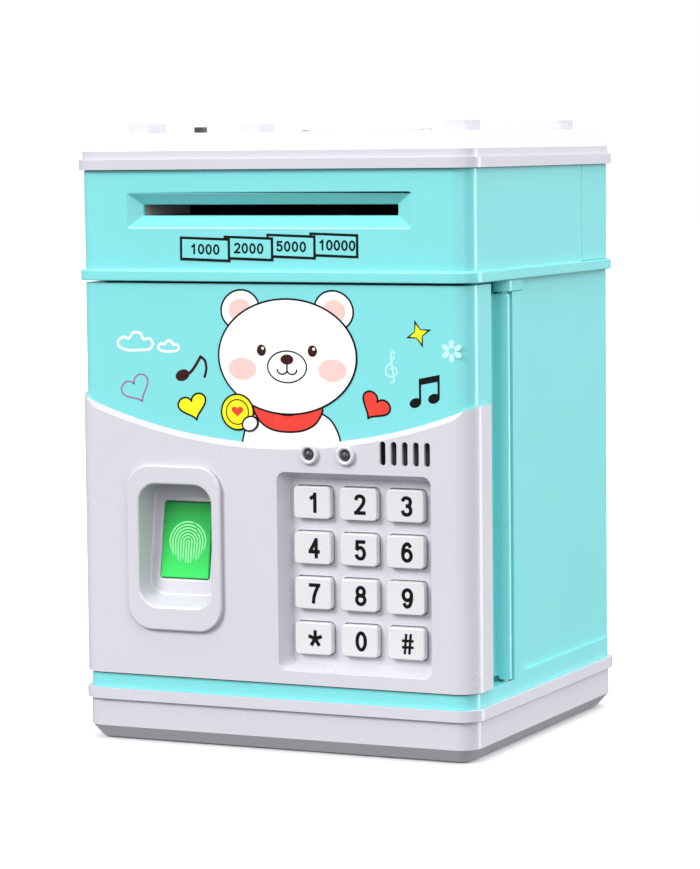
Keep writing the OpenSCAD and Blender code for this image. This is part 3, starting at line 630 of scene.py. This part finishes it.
def door_picture(face_y):
    """The printed scene on the upper door: a bear cub among clouds, hearts and music."""
    art = Print("door_picture", Matrix.Translation((PRINT_X, face_y, 0)))
    draw_cub(art, 4.2, 119.0)
    draw_cloud(art, -46.6, 122.6, 5.6)
    draw_cloud(art, -35.4, 121.4, 3.3)
    art.line(heart(-46.6, 108.1, 8.6, 28), 0.5, "mauve", 1, closed=True)
    art.outlined(heart(-27.4, 103.2, 8.4, 17), "yellow", 1)
    art.outlined(heart(32.4, 104.6, 8.4, -32), "red", 1)
    draw_music(art)
    draw_sparkle(art, 46.8, 126.4, 4.3, 1.5, "black", 1)
    draw_sparkle(art, 46.8, 126.4, 2.9, 1.2, "yellow", 2)
    draw_flower(art, 57.2, 121.5)
    art.finish("door")


def note_labels(face_y):
    """Four overlapping labels with the values of the notes that fit the slot."""
    art = Print("note_labels", Matrix.Translation((PRINT_X, face_y, 0)))
    labels = (("1000", -31.0, -14.2, 150.7, -22.6), ("2000", -16.3, 0.1, 151.0, -8.0),
              ("5000", -2.1, 14.0, 151.6, 6.0), ("10000", 12.0, 27.8, 152.0, 20.9))
    half_height, lean, border = 3.55, 0.25, 0.78
    digit, pen, slope = (2.15, 3.2), 0.6, -0.02
    for order, (words, left, right, z, middle) in enumerate(labels):
        layer = 7 - 1.8 * order
        corners = [(left, z - half_height + lean), (right, z - half_height - lean),
                   (right, z + half_height - lean), (left, z + half_height + lean)]
        art.frame(corners, border, layer)
        pitch = 2.55 if len(words) < 5 else 2.45
        art.write(words, middle, z, digit, pen, layer + 0.8, pitch, slope)
    art.finish("case")


LEGENDS = dict(zip(KEYS, "123456789*0#"))


def key_legend(node):
    """The black digit or sign on a key's face, printed a little right of its middle."""
    low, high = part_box(node)
    aside = 0.6 * MM
    place = Matrix.Translation(((low.x + high.x) / 2 + aside, low.y, (low.z + high.z) / 2))
    art = Print(node + "_legend", place)
    sign = LEGENDS[node]
    size = (4.3, 5.6) if sign == "*" else (3.75, 6.1)
    pen = 0.8 if sign == "#" else 1.1
    art.write(sign, 0, 0, size, pen, layer=1)
    art.finish(BODY_OF[node])


def window_place():
    """The frame of the fingerprint window's outer face: across, into the door and up the face."""
    press = next(joint for joint in frame["joints"] if joint["name"] == "finger_press")
    inward = Vector(press["axis"]).normalized()
    corners = [corner.co for corner in NODES["fingerprint_window"].data.vertices]
    nearest = min(corner.dot(inward) for corner in corners)
    face = [corner for corner in corners if corner.dot(inward) < nearest + 0.02 * MM]
    across = Vector((1, 0, 0))
    up = across.cross(inward)
    place = Matrix((across, inward, up)).transposed().to_4x4()
    place.translation = sum(face, Vector()) / len(face)
    return place


def fingerprint_print():
    """Pale fingerprint ridges printed on the green window: nested arches that fill a disc."""
    art = Print("fingerprint_ridges", window_place())
    mid_x, mid_z = 0.5, -0.5
    disc, ridges, first, pitch, pen = 6.5, 7, 0.45, 0.94, 0.44
    for ridge in range(ridges):
        radius = first + pitch * ridge
        foot = math.sqrt(disc ** 2 - radius ** 2)
        gap = 88 - (37 * ridge) % 50
        for side, sweep in ((-1, 172 - gap), (1, gap)):
            leg = foot * (0.97 if (ridge + side) % 3 else 0.8)
            bend = [(mid_x + side * (x - mid_x), z)
                    for x, z in arc(mid_x, mid_z, radius, radius, 0, sweep, steps=16)]
            art.line([(mid_x + side * radius * 0.93, mid_z - leg)] + bend, pen, "pale_green", 1)
    art.finish(BODY_OF["fingerprint_window"])


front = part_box("door_shell")[0].y
door_picture(front)
note_labels(front)
for name in KEYS:
    key_legend(name)
fingerprint_print()


# ---- stage, light and camera ----

def surroundings():
    """A white backdrop for the camera; the objects see a soft sky over a dim lower half."""
    world = bpy.data.worlds.new("studio")
    bpy.context.scene.world = world
    world.use_nodes = True
    nodes, links = world.node_tree.nodes, world.node_tree.links
    backdrop = nodes["Background"]
    backdrop.inputs["Color"].default_value = (1, 1, 1, 1)
    backdrop.inputs["Strength"].default_value = 1.0
    way = nodes.new("ShaderNodeTexCoord")
    split = nodes.new("ShaderNodeSeparateXYZ")
    links.new(way.outputs["Generated"], split.inputs["Vector"])
    dim, bright = 0.16, 0.72
    height = nodes.new("ShaderNodeMapRange")
    height.inputs["From Min"].default_value = -0.35
    height.inputs["From Max"].default_value = 0.25
    height.inputs["To Min"].default_value = dim
    height.inputs["To Max"].default_value = bright
    links.new(split.outputs["Z"], height.inputs["Value"])
    sky = nodes.new("ShaderNodeBackground")
    sky.inputs["Color"].default_value = (0.98, 0.98, 1.0, 1)
    links.new(height.outputs["Result"], sky.inputs["Strength"])
    either = nodes.new("ShaderNodeMixShader")
    ray = nodes.new("ShaderNodeLightPath")
    links.new(ray.outputs["Is Camera Ray"], either.inputs["Fac"])
    links.new(sky.outputs["Background"], either.inputs[1])
    links.new(backdrop.outputs["Background"], either.inputs[2])
    links.new(either.outputs["Shader"], nodes["World Output"].inputs["Surface"])


def pale_floor():
    """A wide pale floor. It adds no bounce, so the undersides stay as dark as on a white sheet."""
    mesh = bpy.data.meshes.new("floor")
    reach = 6.0
    mesh.from_pydata(
        [(-reach, -reach, 0), (reach, -reach, 0), (reach, reach, 0), (-reach, reach, 0)], [],
        [(0, 1, 2, 3)])
    floor = bpy.data.objects.new("floor", mesh)
    bpy.context.scene.collection.objects.link(floor)
    pale = Surface("pale_floor", (0.93, 0.93, 0.93, 1), roughness=0.6)
    pale.mottle(size=300 * MM, amount=0.01)
    paint(floor, pale.material)
    floor.visible_diffuse = False
    floor.visible_glossy = False
    floor.visible_shadow = False


def sun(name, towards, strength, angle):
    """A lamp without a place: the direction towards it, its strength and its width in degrees."""
    data = bpy.data.lights.new(name, "SUN")
    data.energy = strength * math.pi
    data.angle = math.radians(angle)
    light = bpy.data.objects.new(name, data)
    light.rotation_euler = Vector(towards).to_track_quat("Z", "Y").to_euler()
    bpy.context.scene.collection.objects.link(light)


def soft_box(name, bearing, distance, middle, width, height, radiance):
    """An upright lamp panel; the bearing runs in degrees from the front towards the right."""
    data = bpy.data.lights.new(name, "AREA")
    data.shape = "RECTANGLE"
    data.size = width
    data.size_y = height
    data.energy = radiance * width * height * math.pi
    light = bpy.data.objects.new(name, data)
    angle = math.radians(bearing)
    way = Vector((math.sin(angle), -math.cos(angle), 0))
    light.matrix_world = (Matrix.Translation(way * distance + Vector((0, 0, middle)))
                          @ way.to_track_quat("Z", "Y").to_matrix().to_4x4())
    bpy.context.scene.collection.objects.link(light)


def studio():
    surroundings()
    pale_floor()
    sun("front_light", (-0.42, -0.72, 0.52), strength=0.8, angle=26)
    sun("right_light", (0.62, -0.62, 0.35), strength=0.3, angle=50)
    sun("top_light", (0.12, 0.12, 1.0), strength=0.58, angle=50)
    sun("side_light", (0.8, 0.25, 0.5), strength=0.1, angle=40)
    soft_box("strip_light", bearing=135, distance=3.0, middle=0.8, width=1.2, height=3.0, radiance=5.0)


def photo_camera():
    """The camera stands a metre off, 25 degrees to the right and 5 degrees up, with a slight roll."""
    place = (0.43595, -0.9384, 0.1822)
    azimuth, elevation, roll = math.radians(24.98), math.radians(5.05), math.radians(-0.605)
    data = bpy.data.cameras.new("photo_camera")
    data.lens = 137.2
    data.sensor_width = 36.0
    data.clip_start = 0.05
    camera = bpy.data.objects.new("photo_camera", data)
    turn = (Matrix.Rotation(azimuth, 4, "Z") @ Matrix.Rotation(math.pi / 2 - elevation, 4, "X")
            @ Matrix.Rotation(roll, 4, "Z"))
    camera.matrix_world = Matrix.Translation(place) @ turn
    bpy.context.scene.collection.objects.link(camera)
    bpy.context.scene.camera = camera


studio()
photo_camera()
bpy.context.scene.view_settings.view_transform = "Standard"
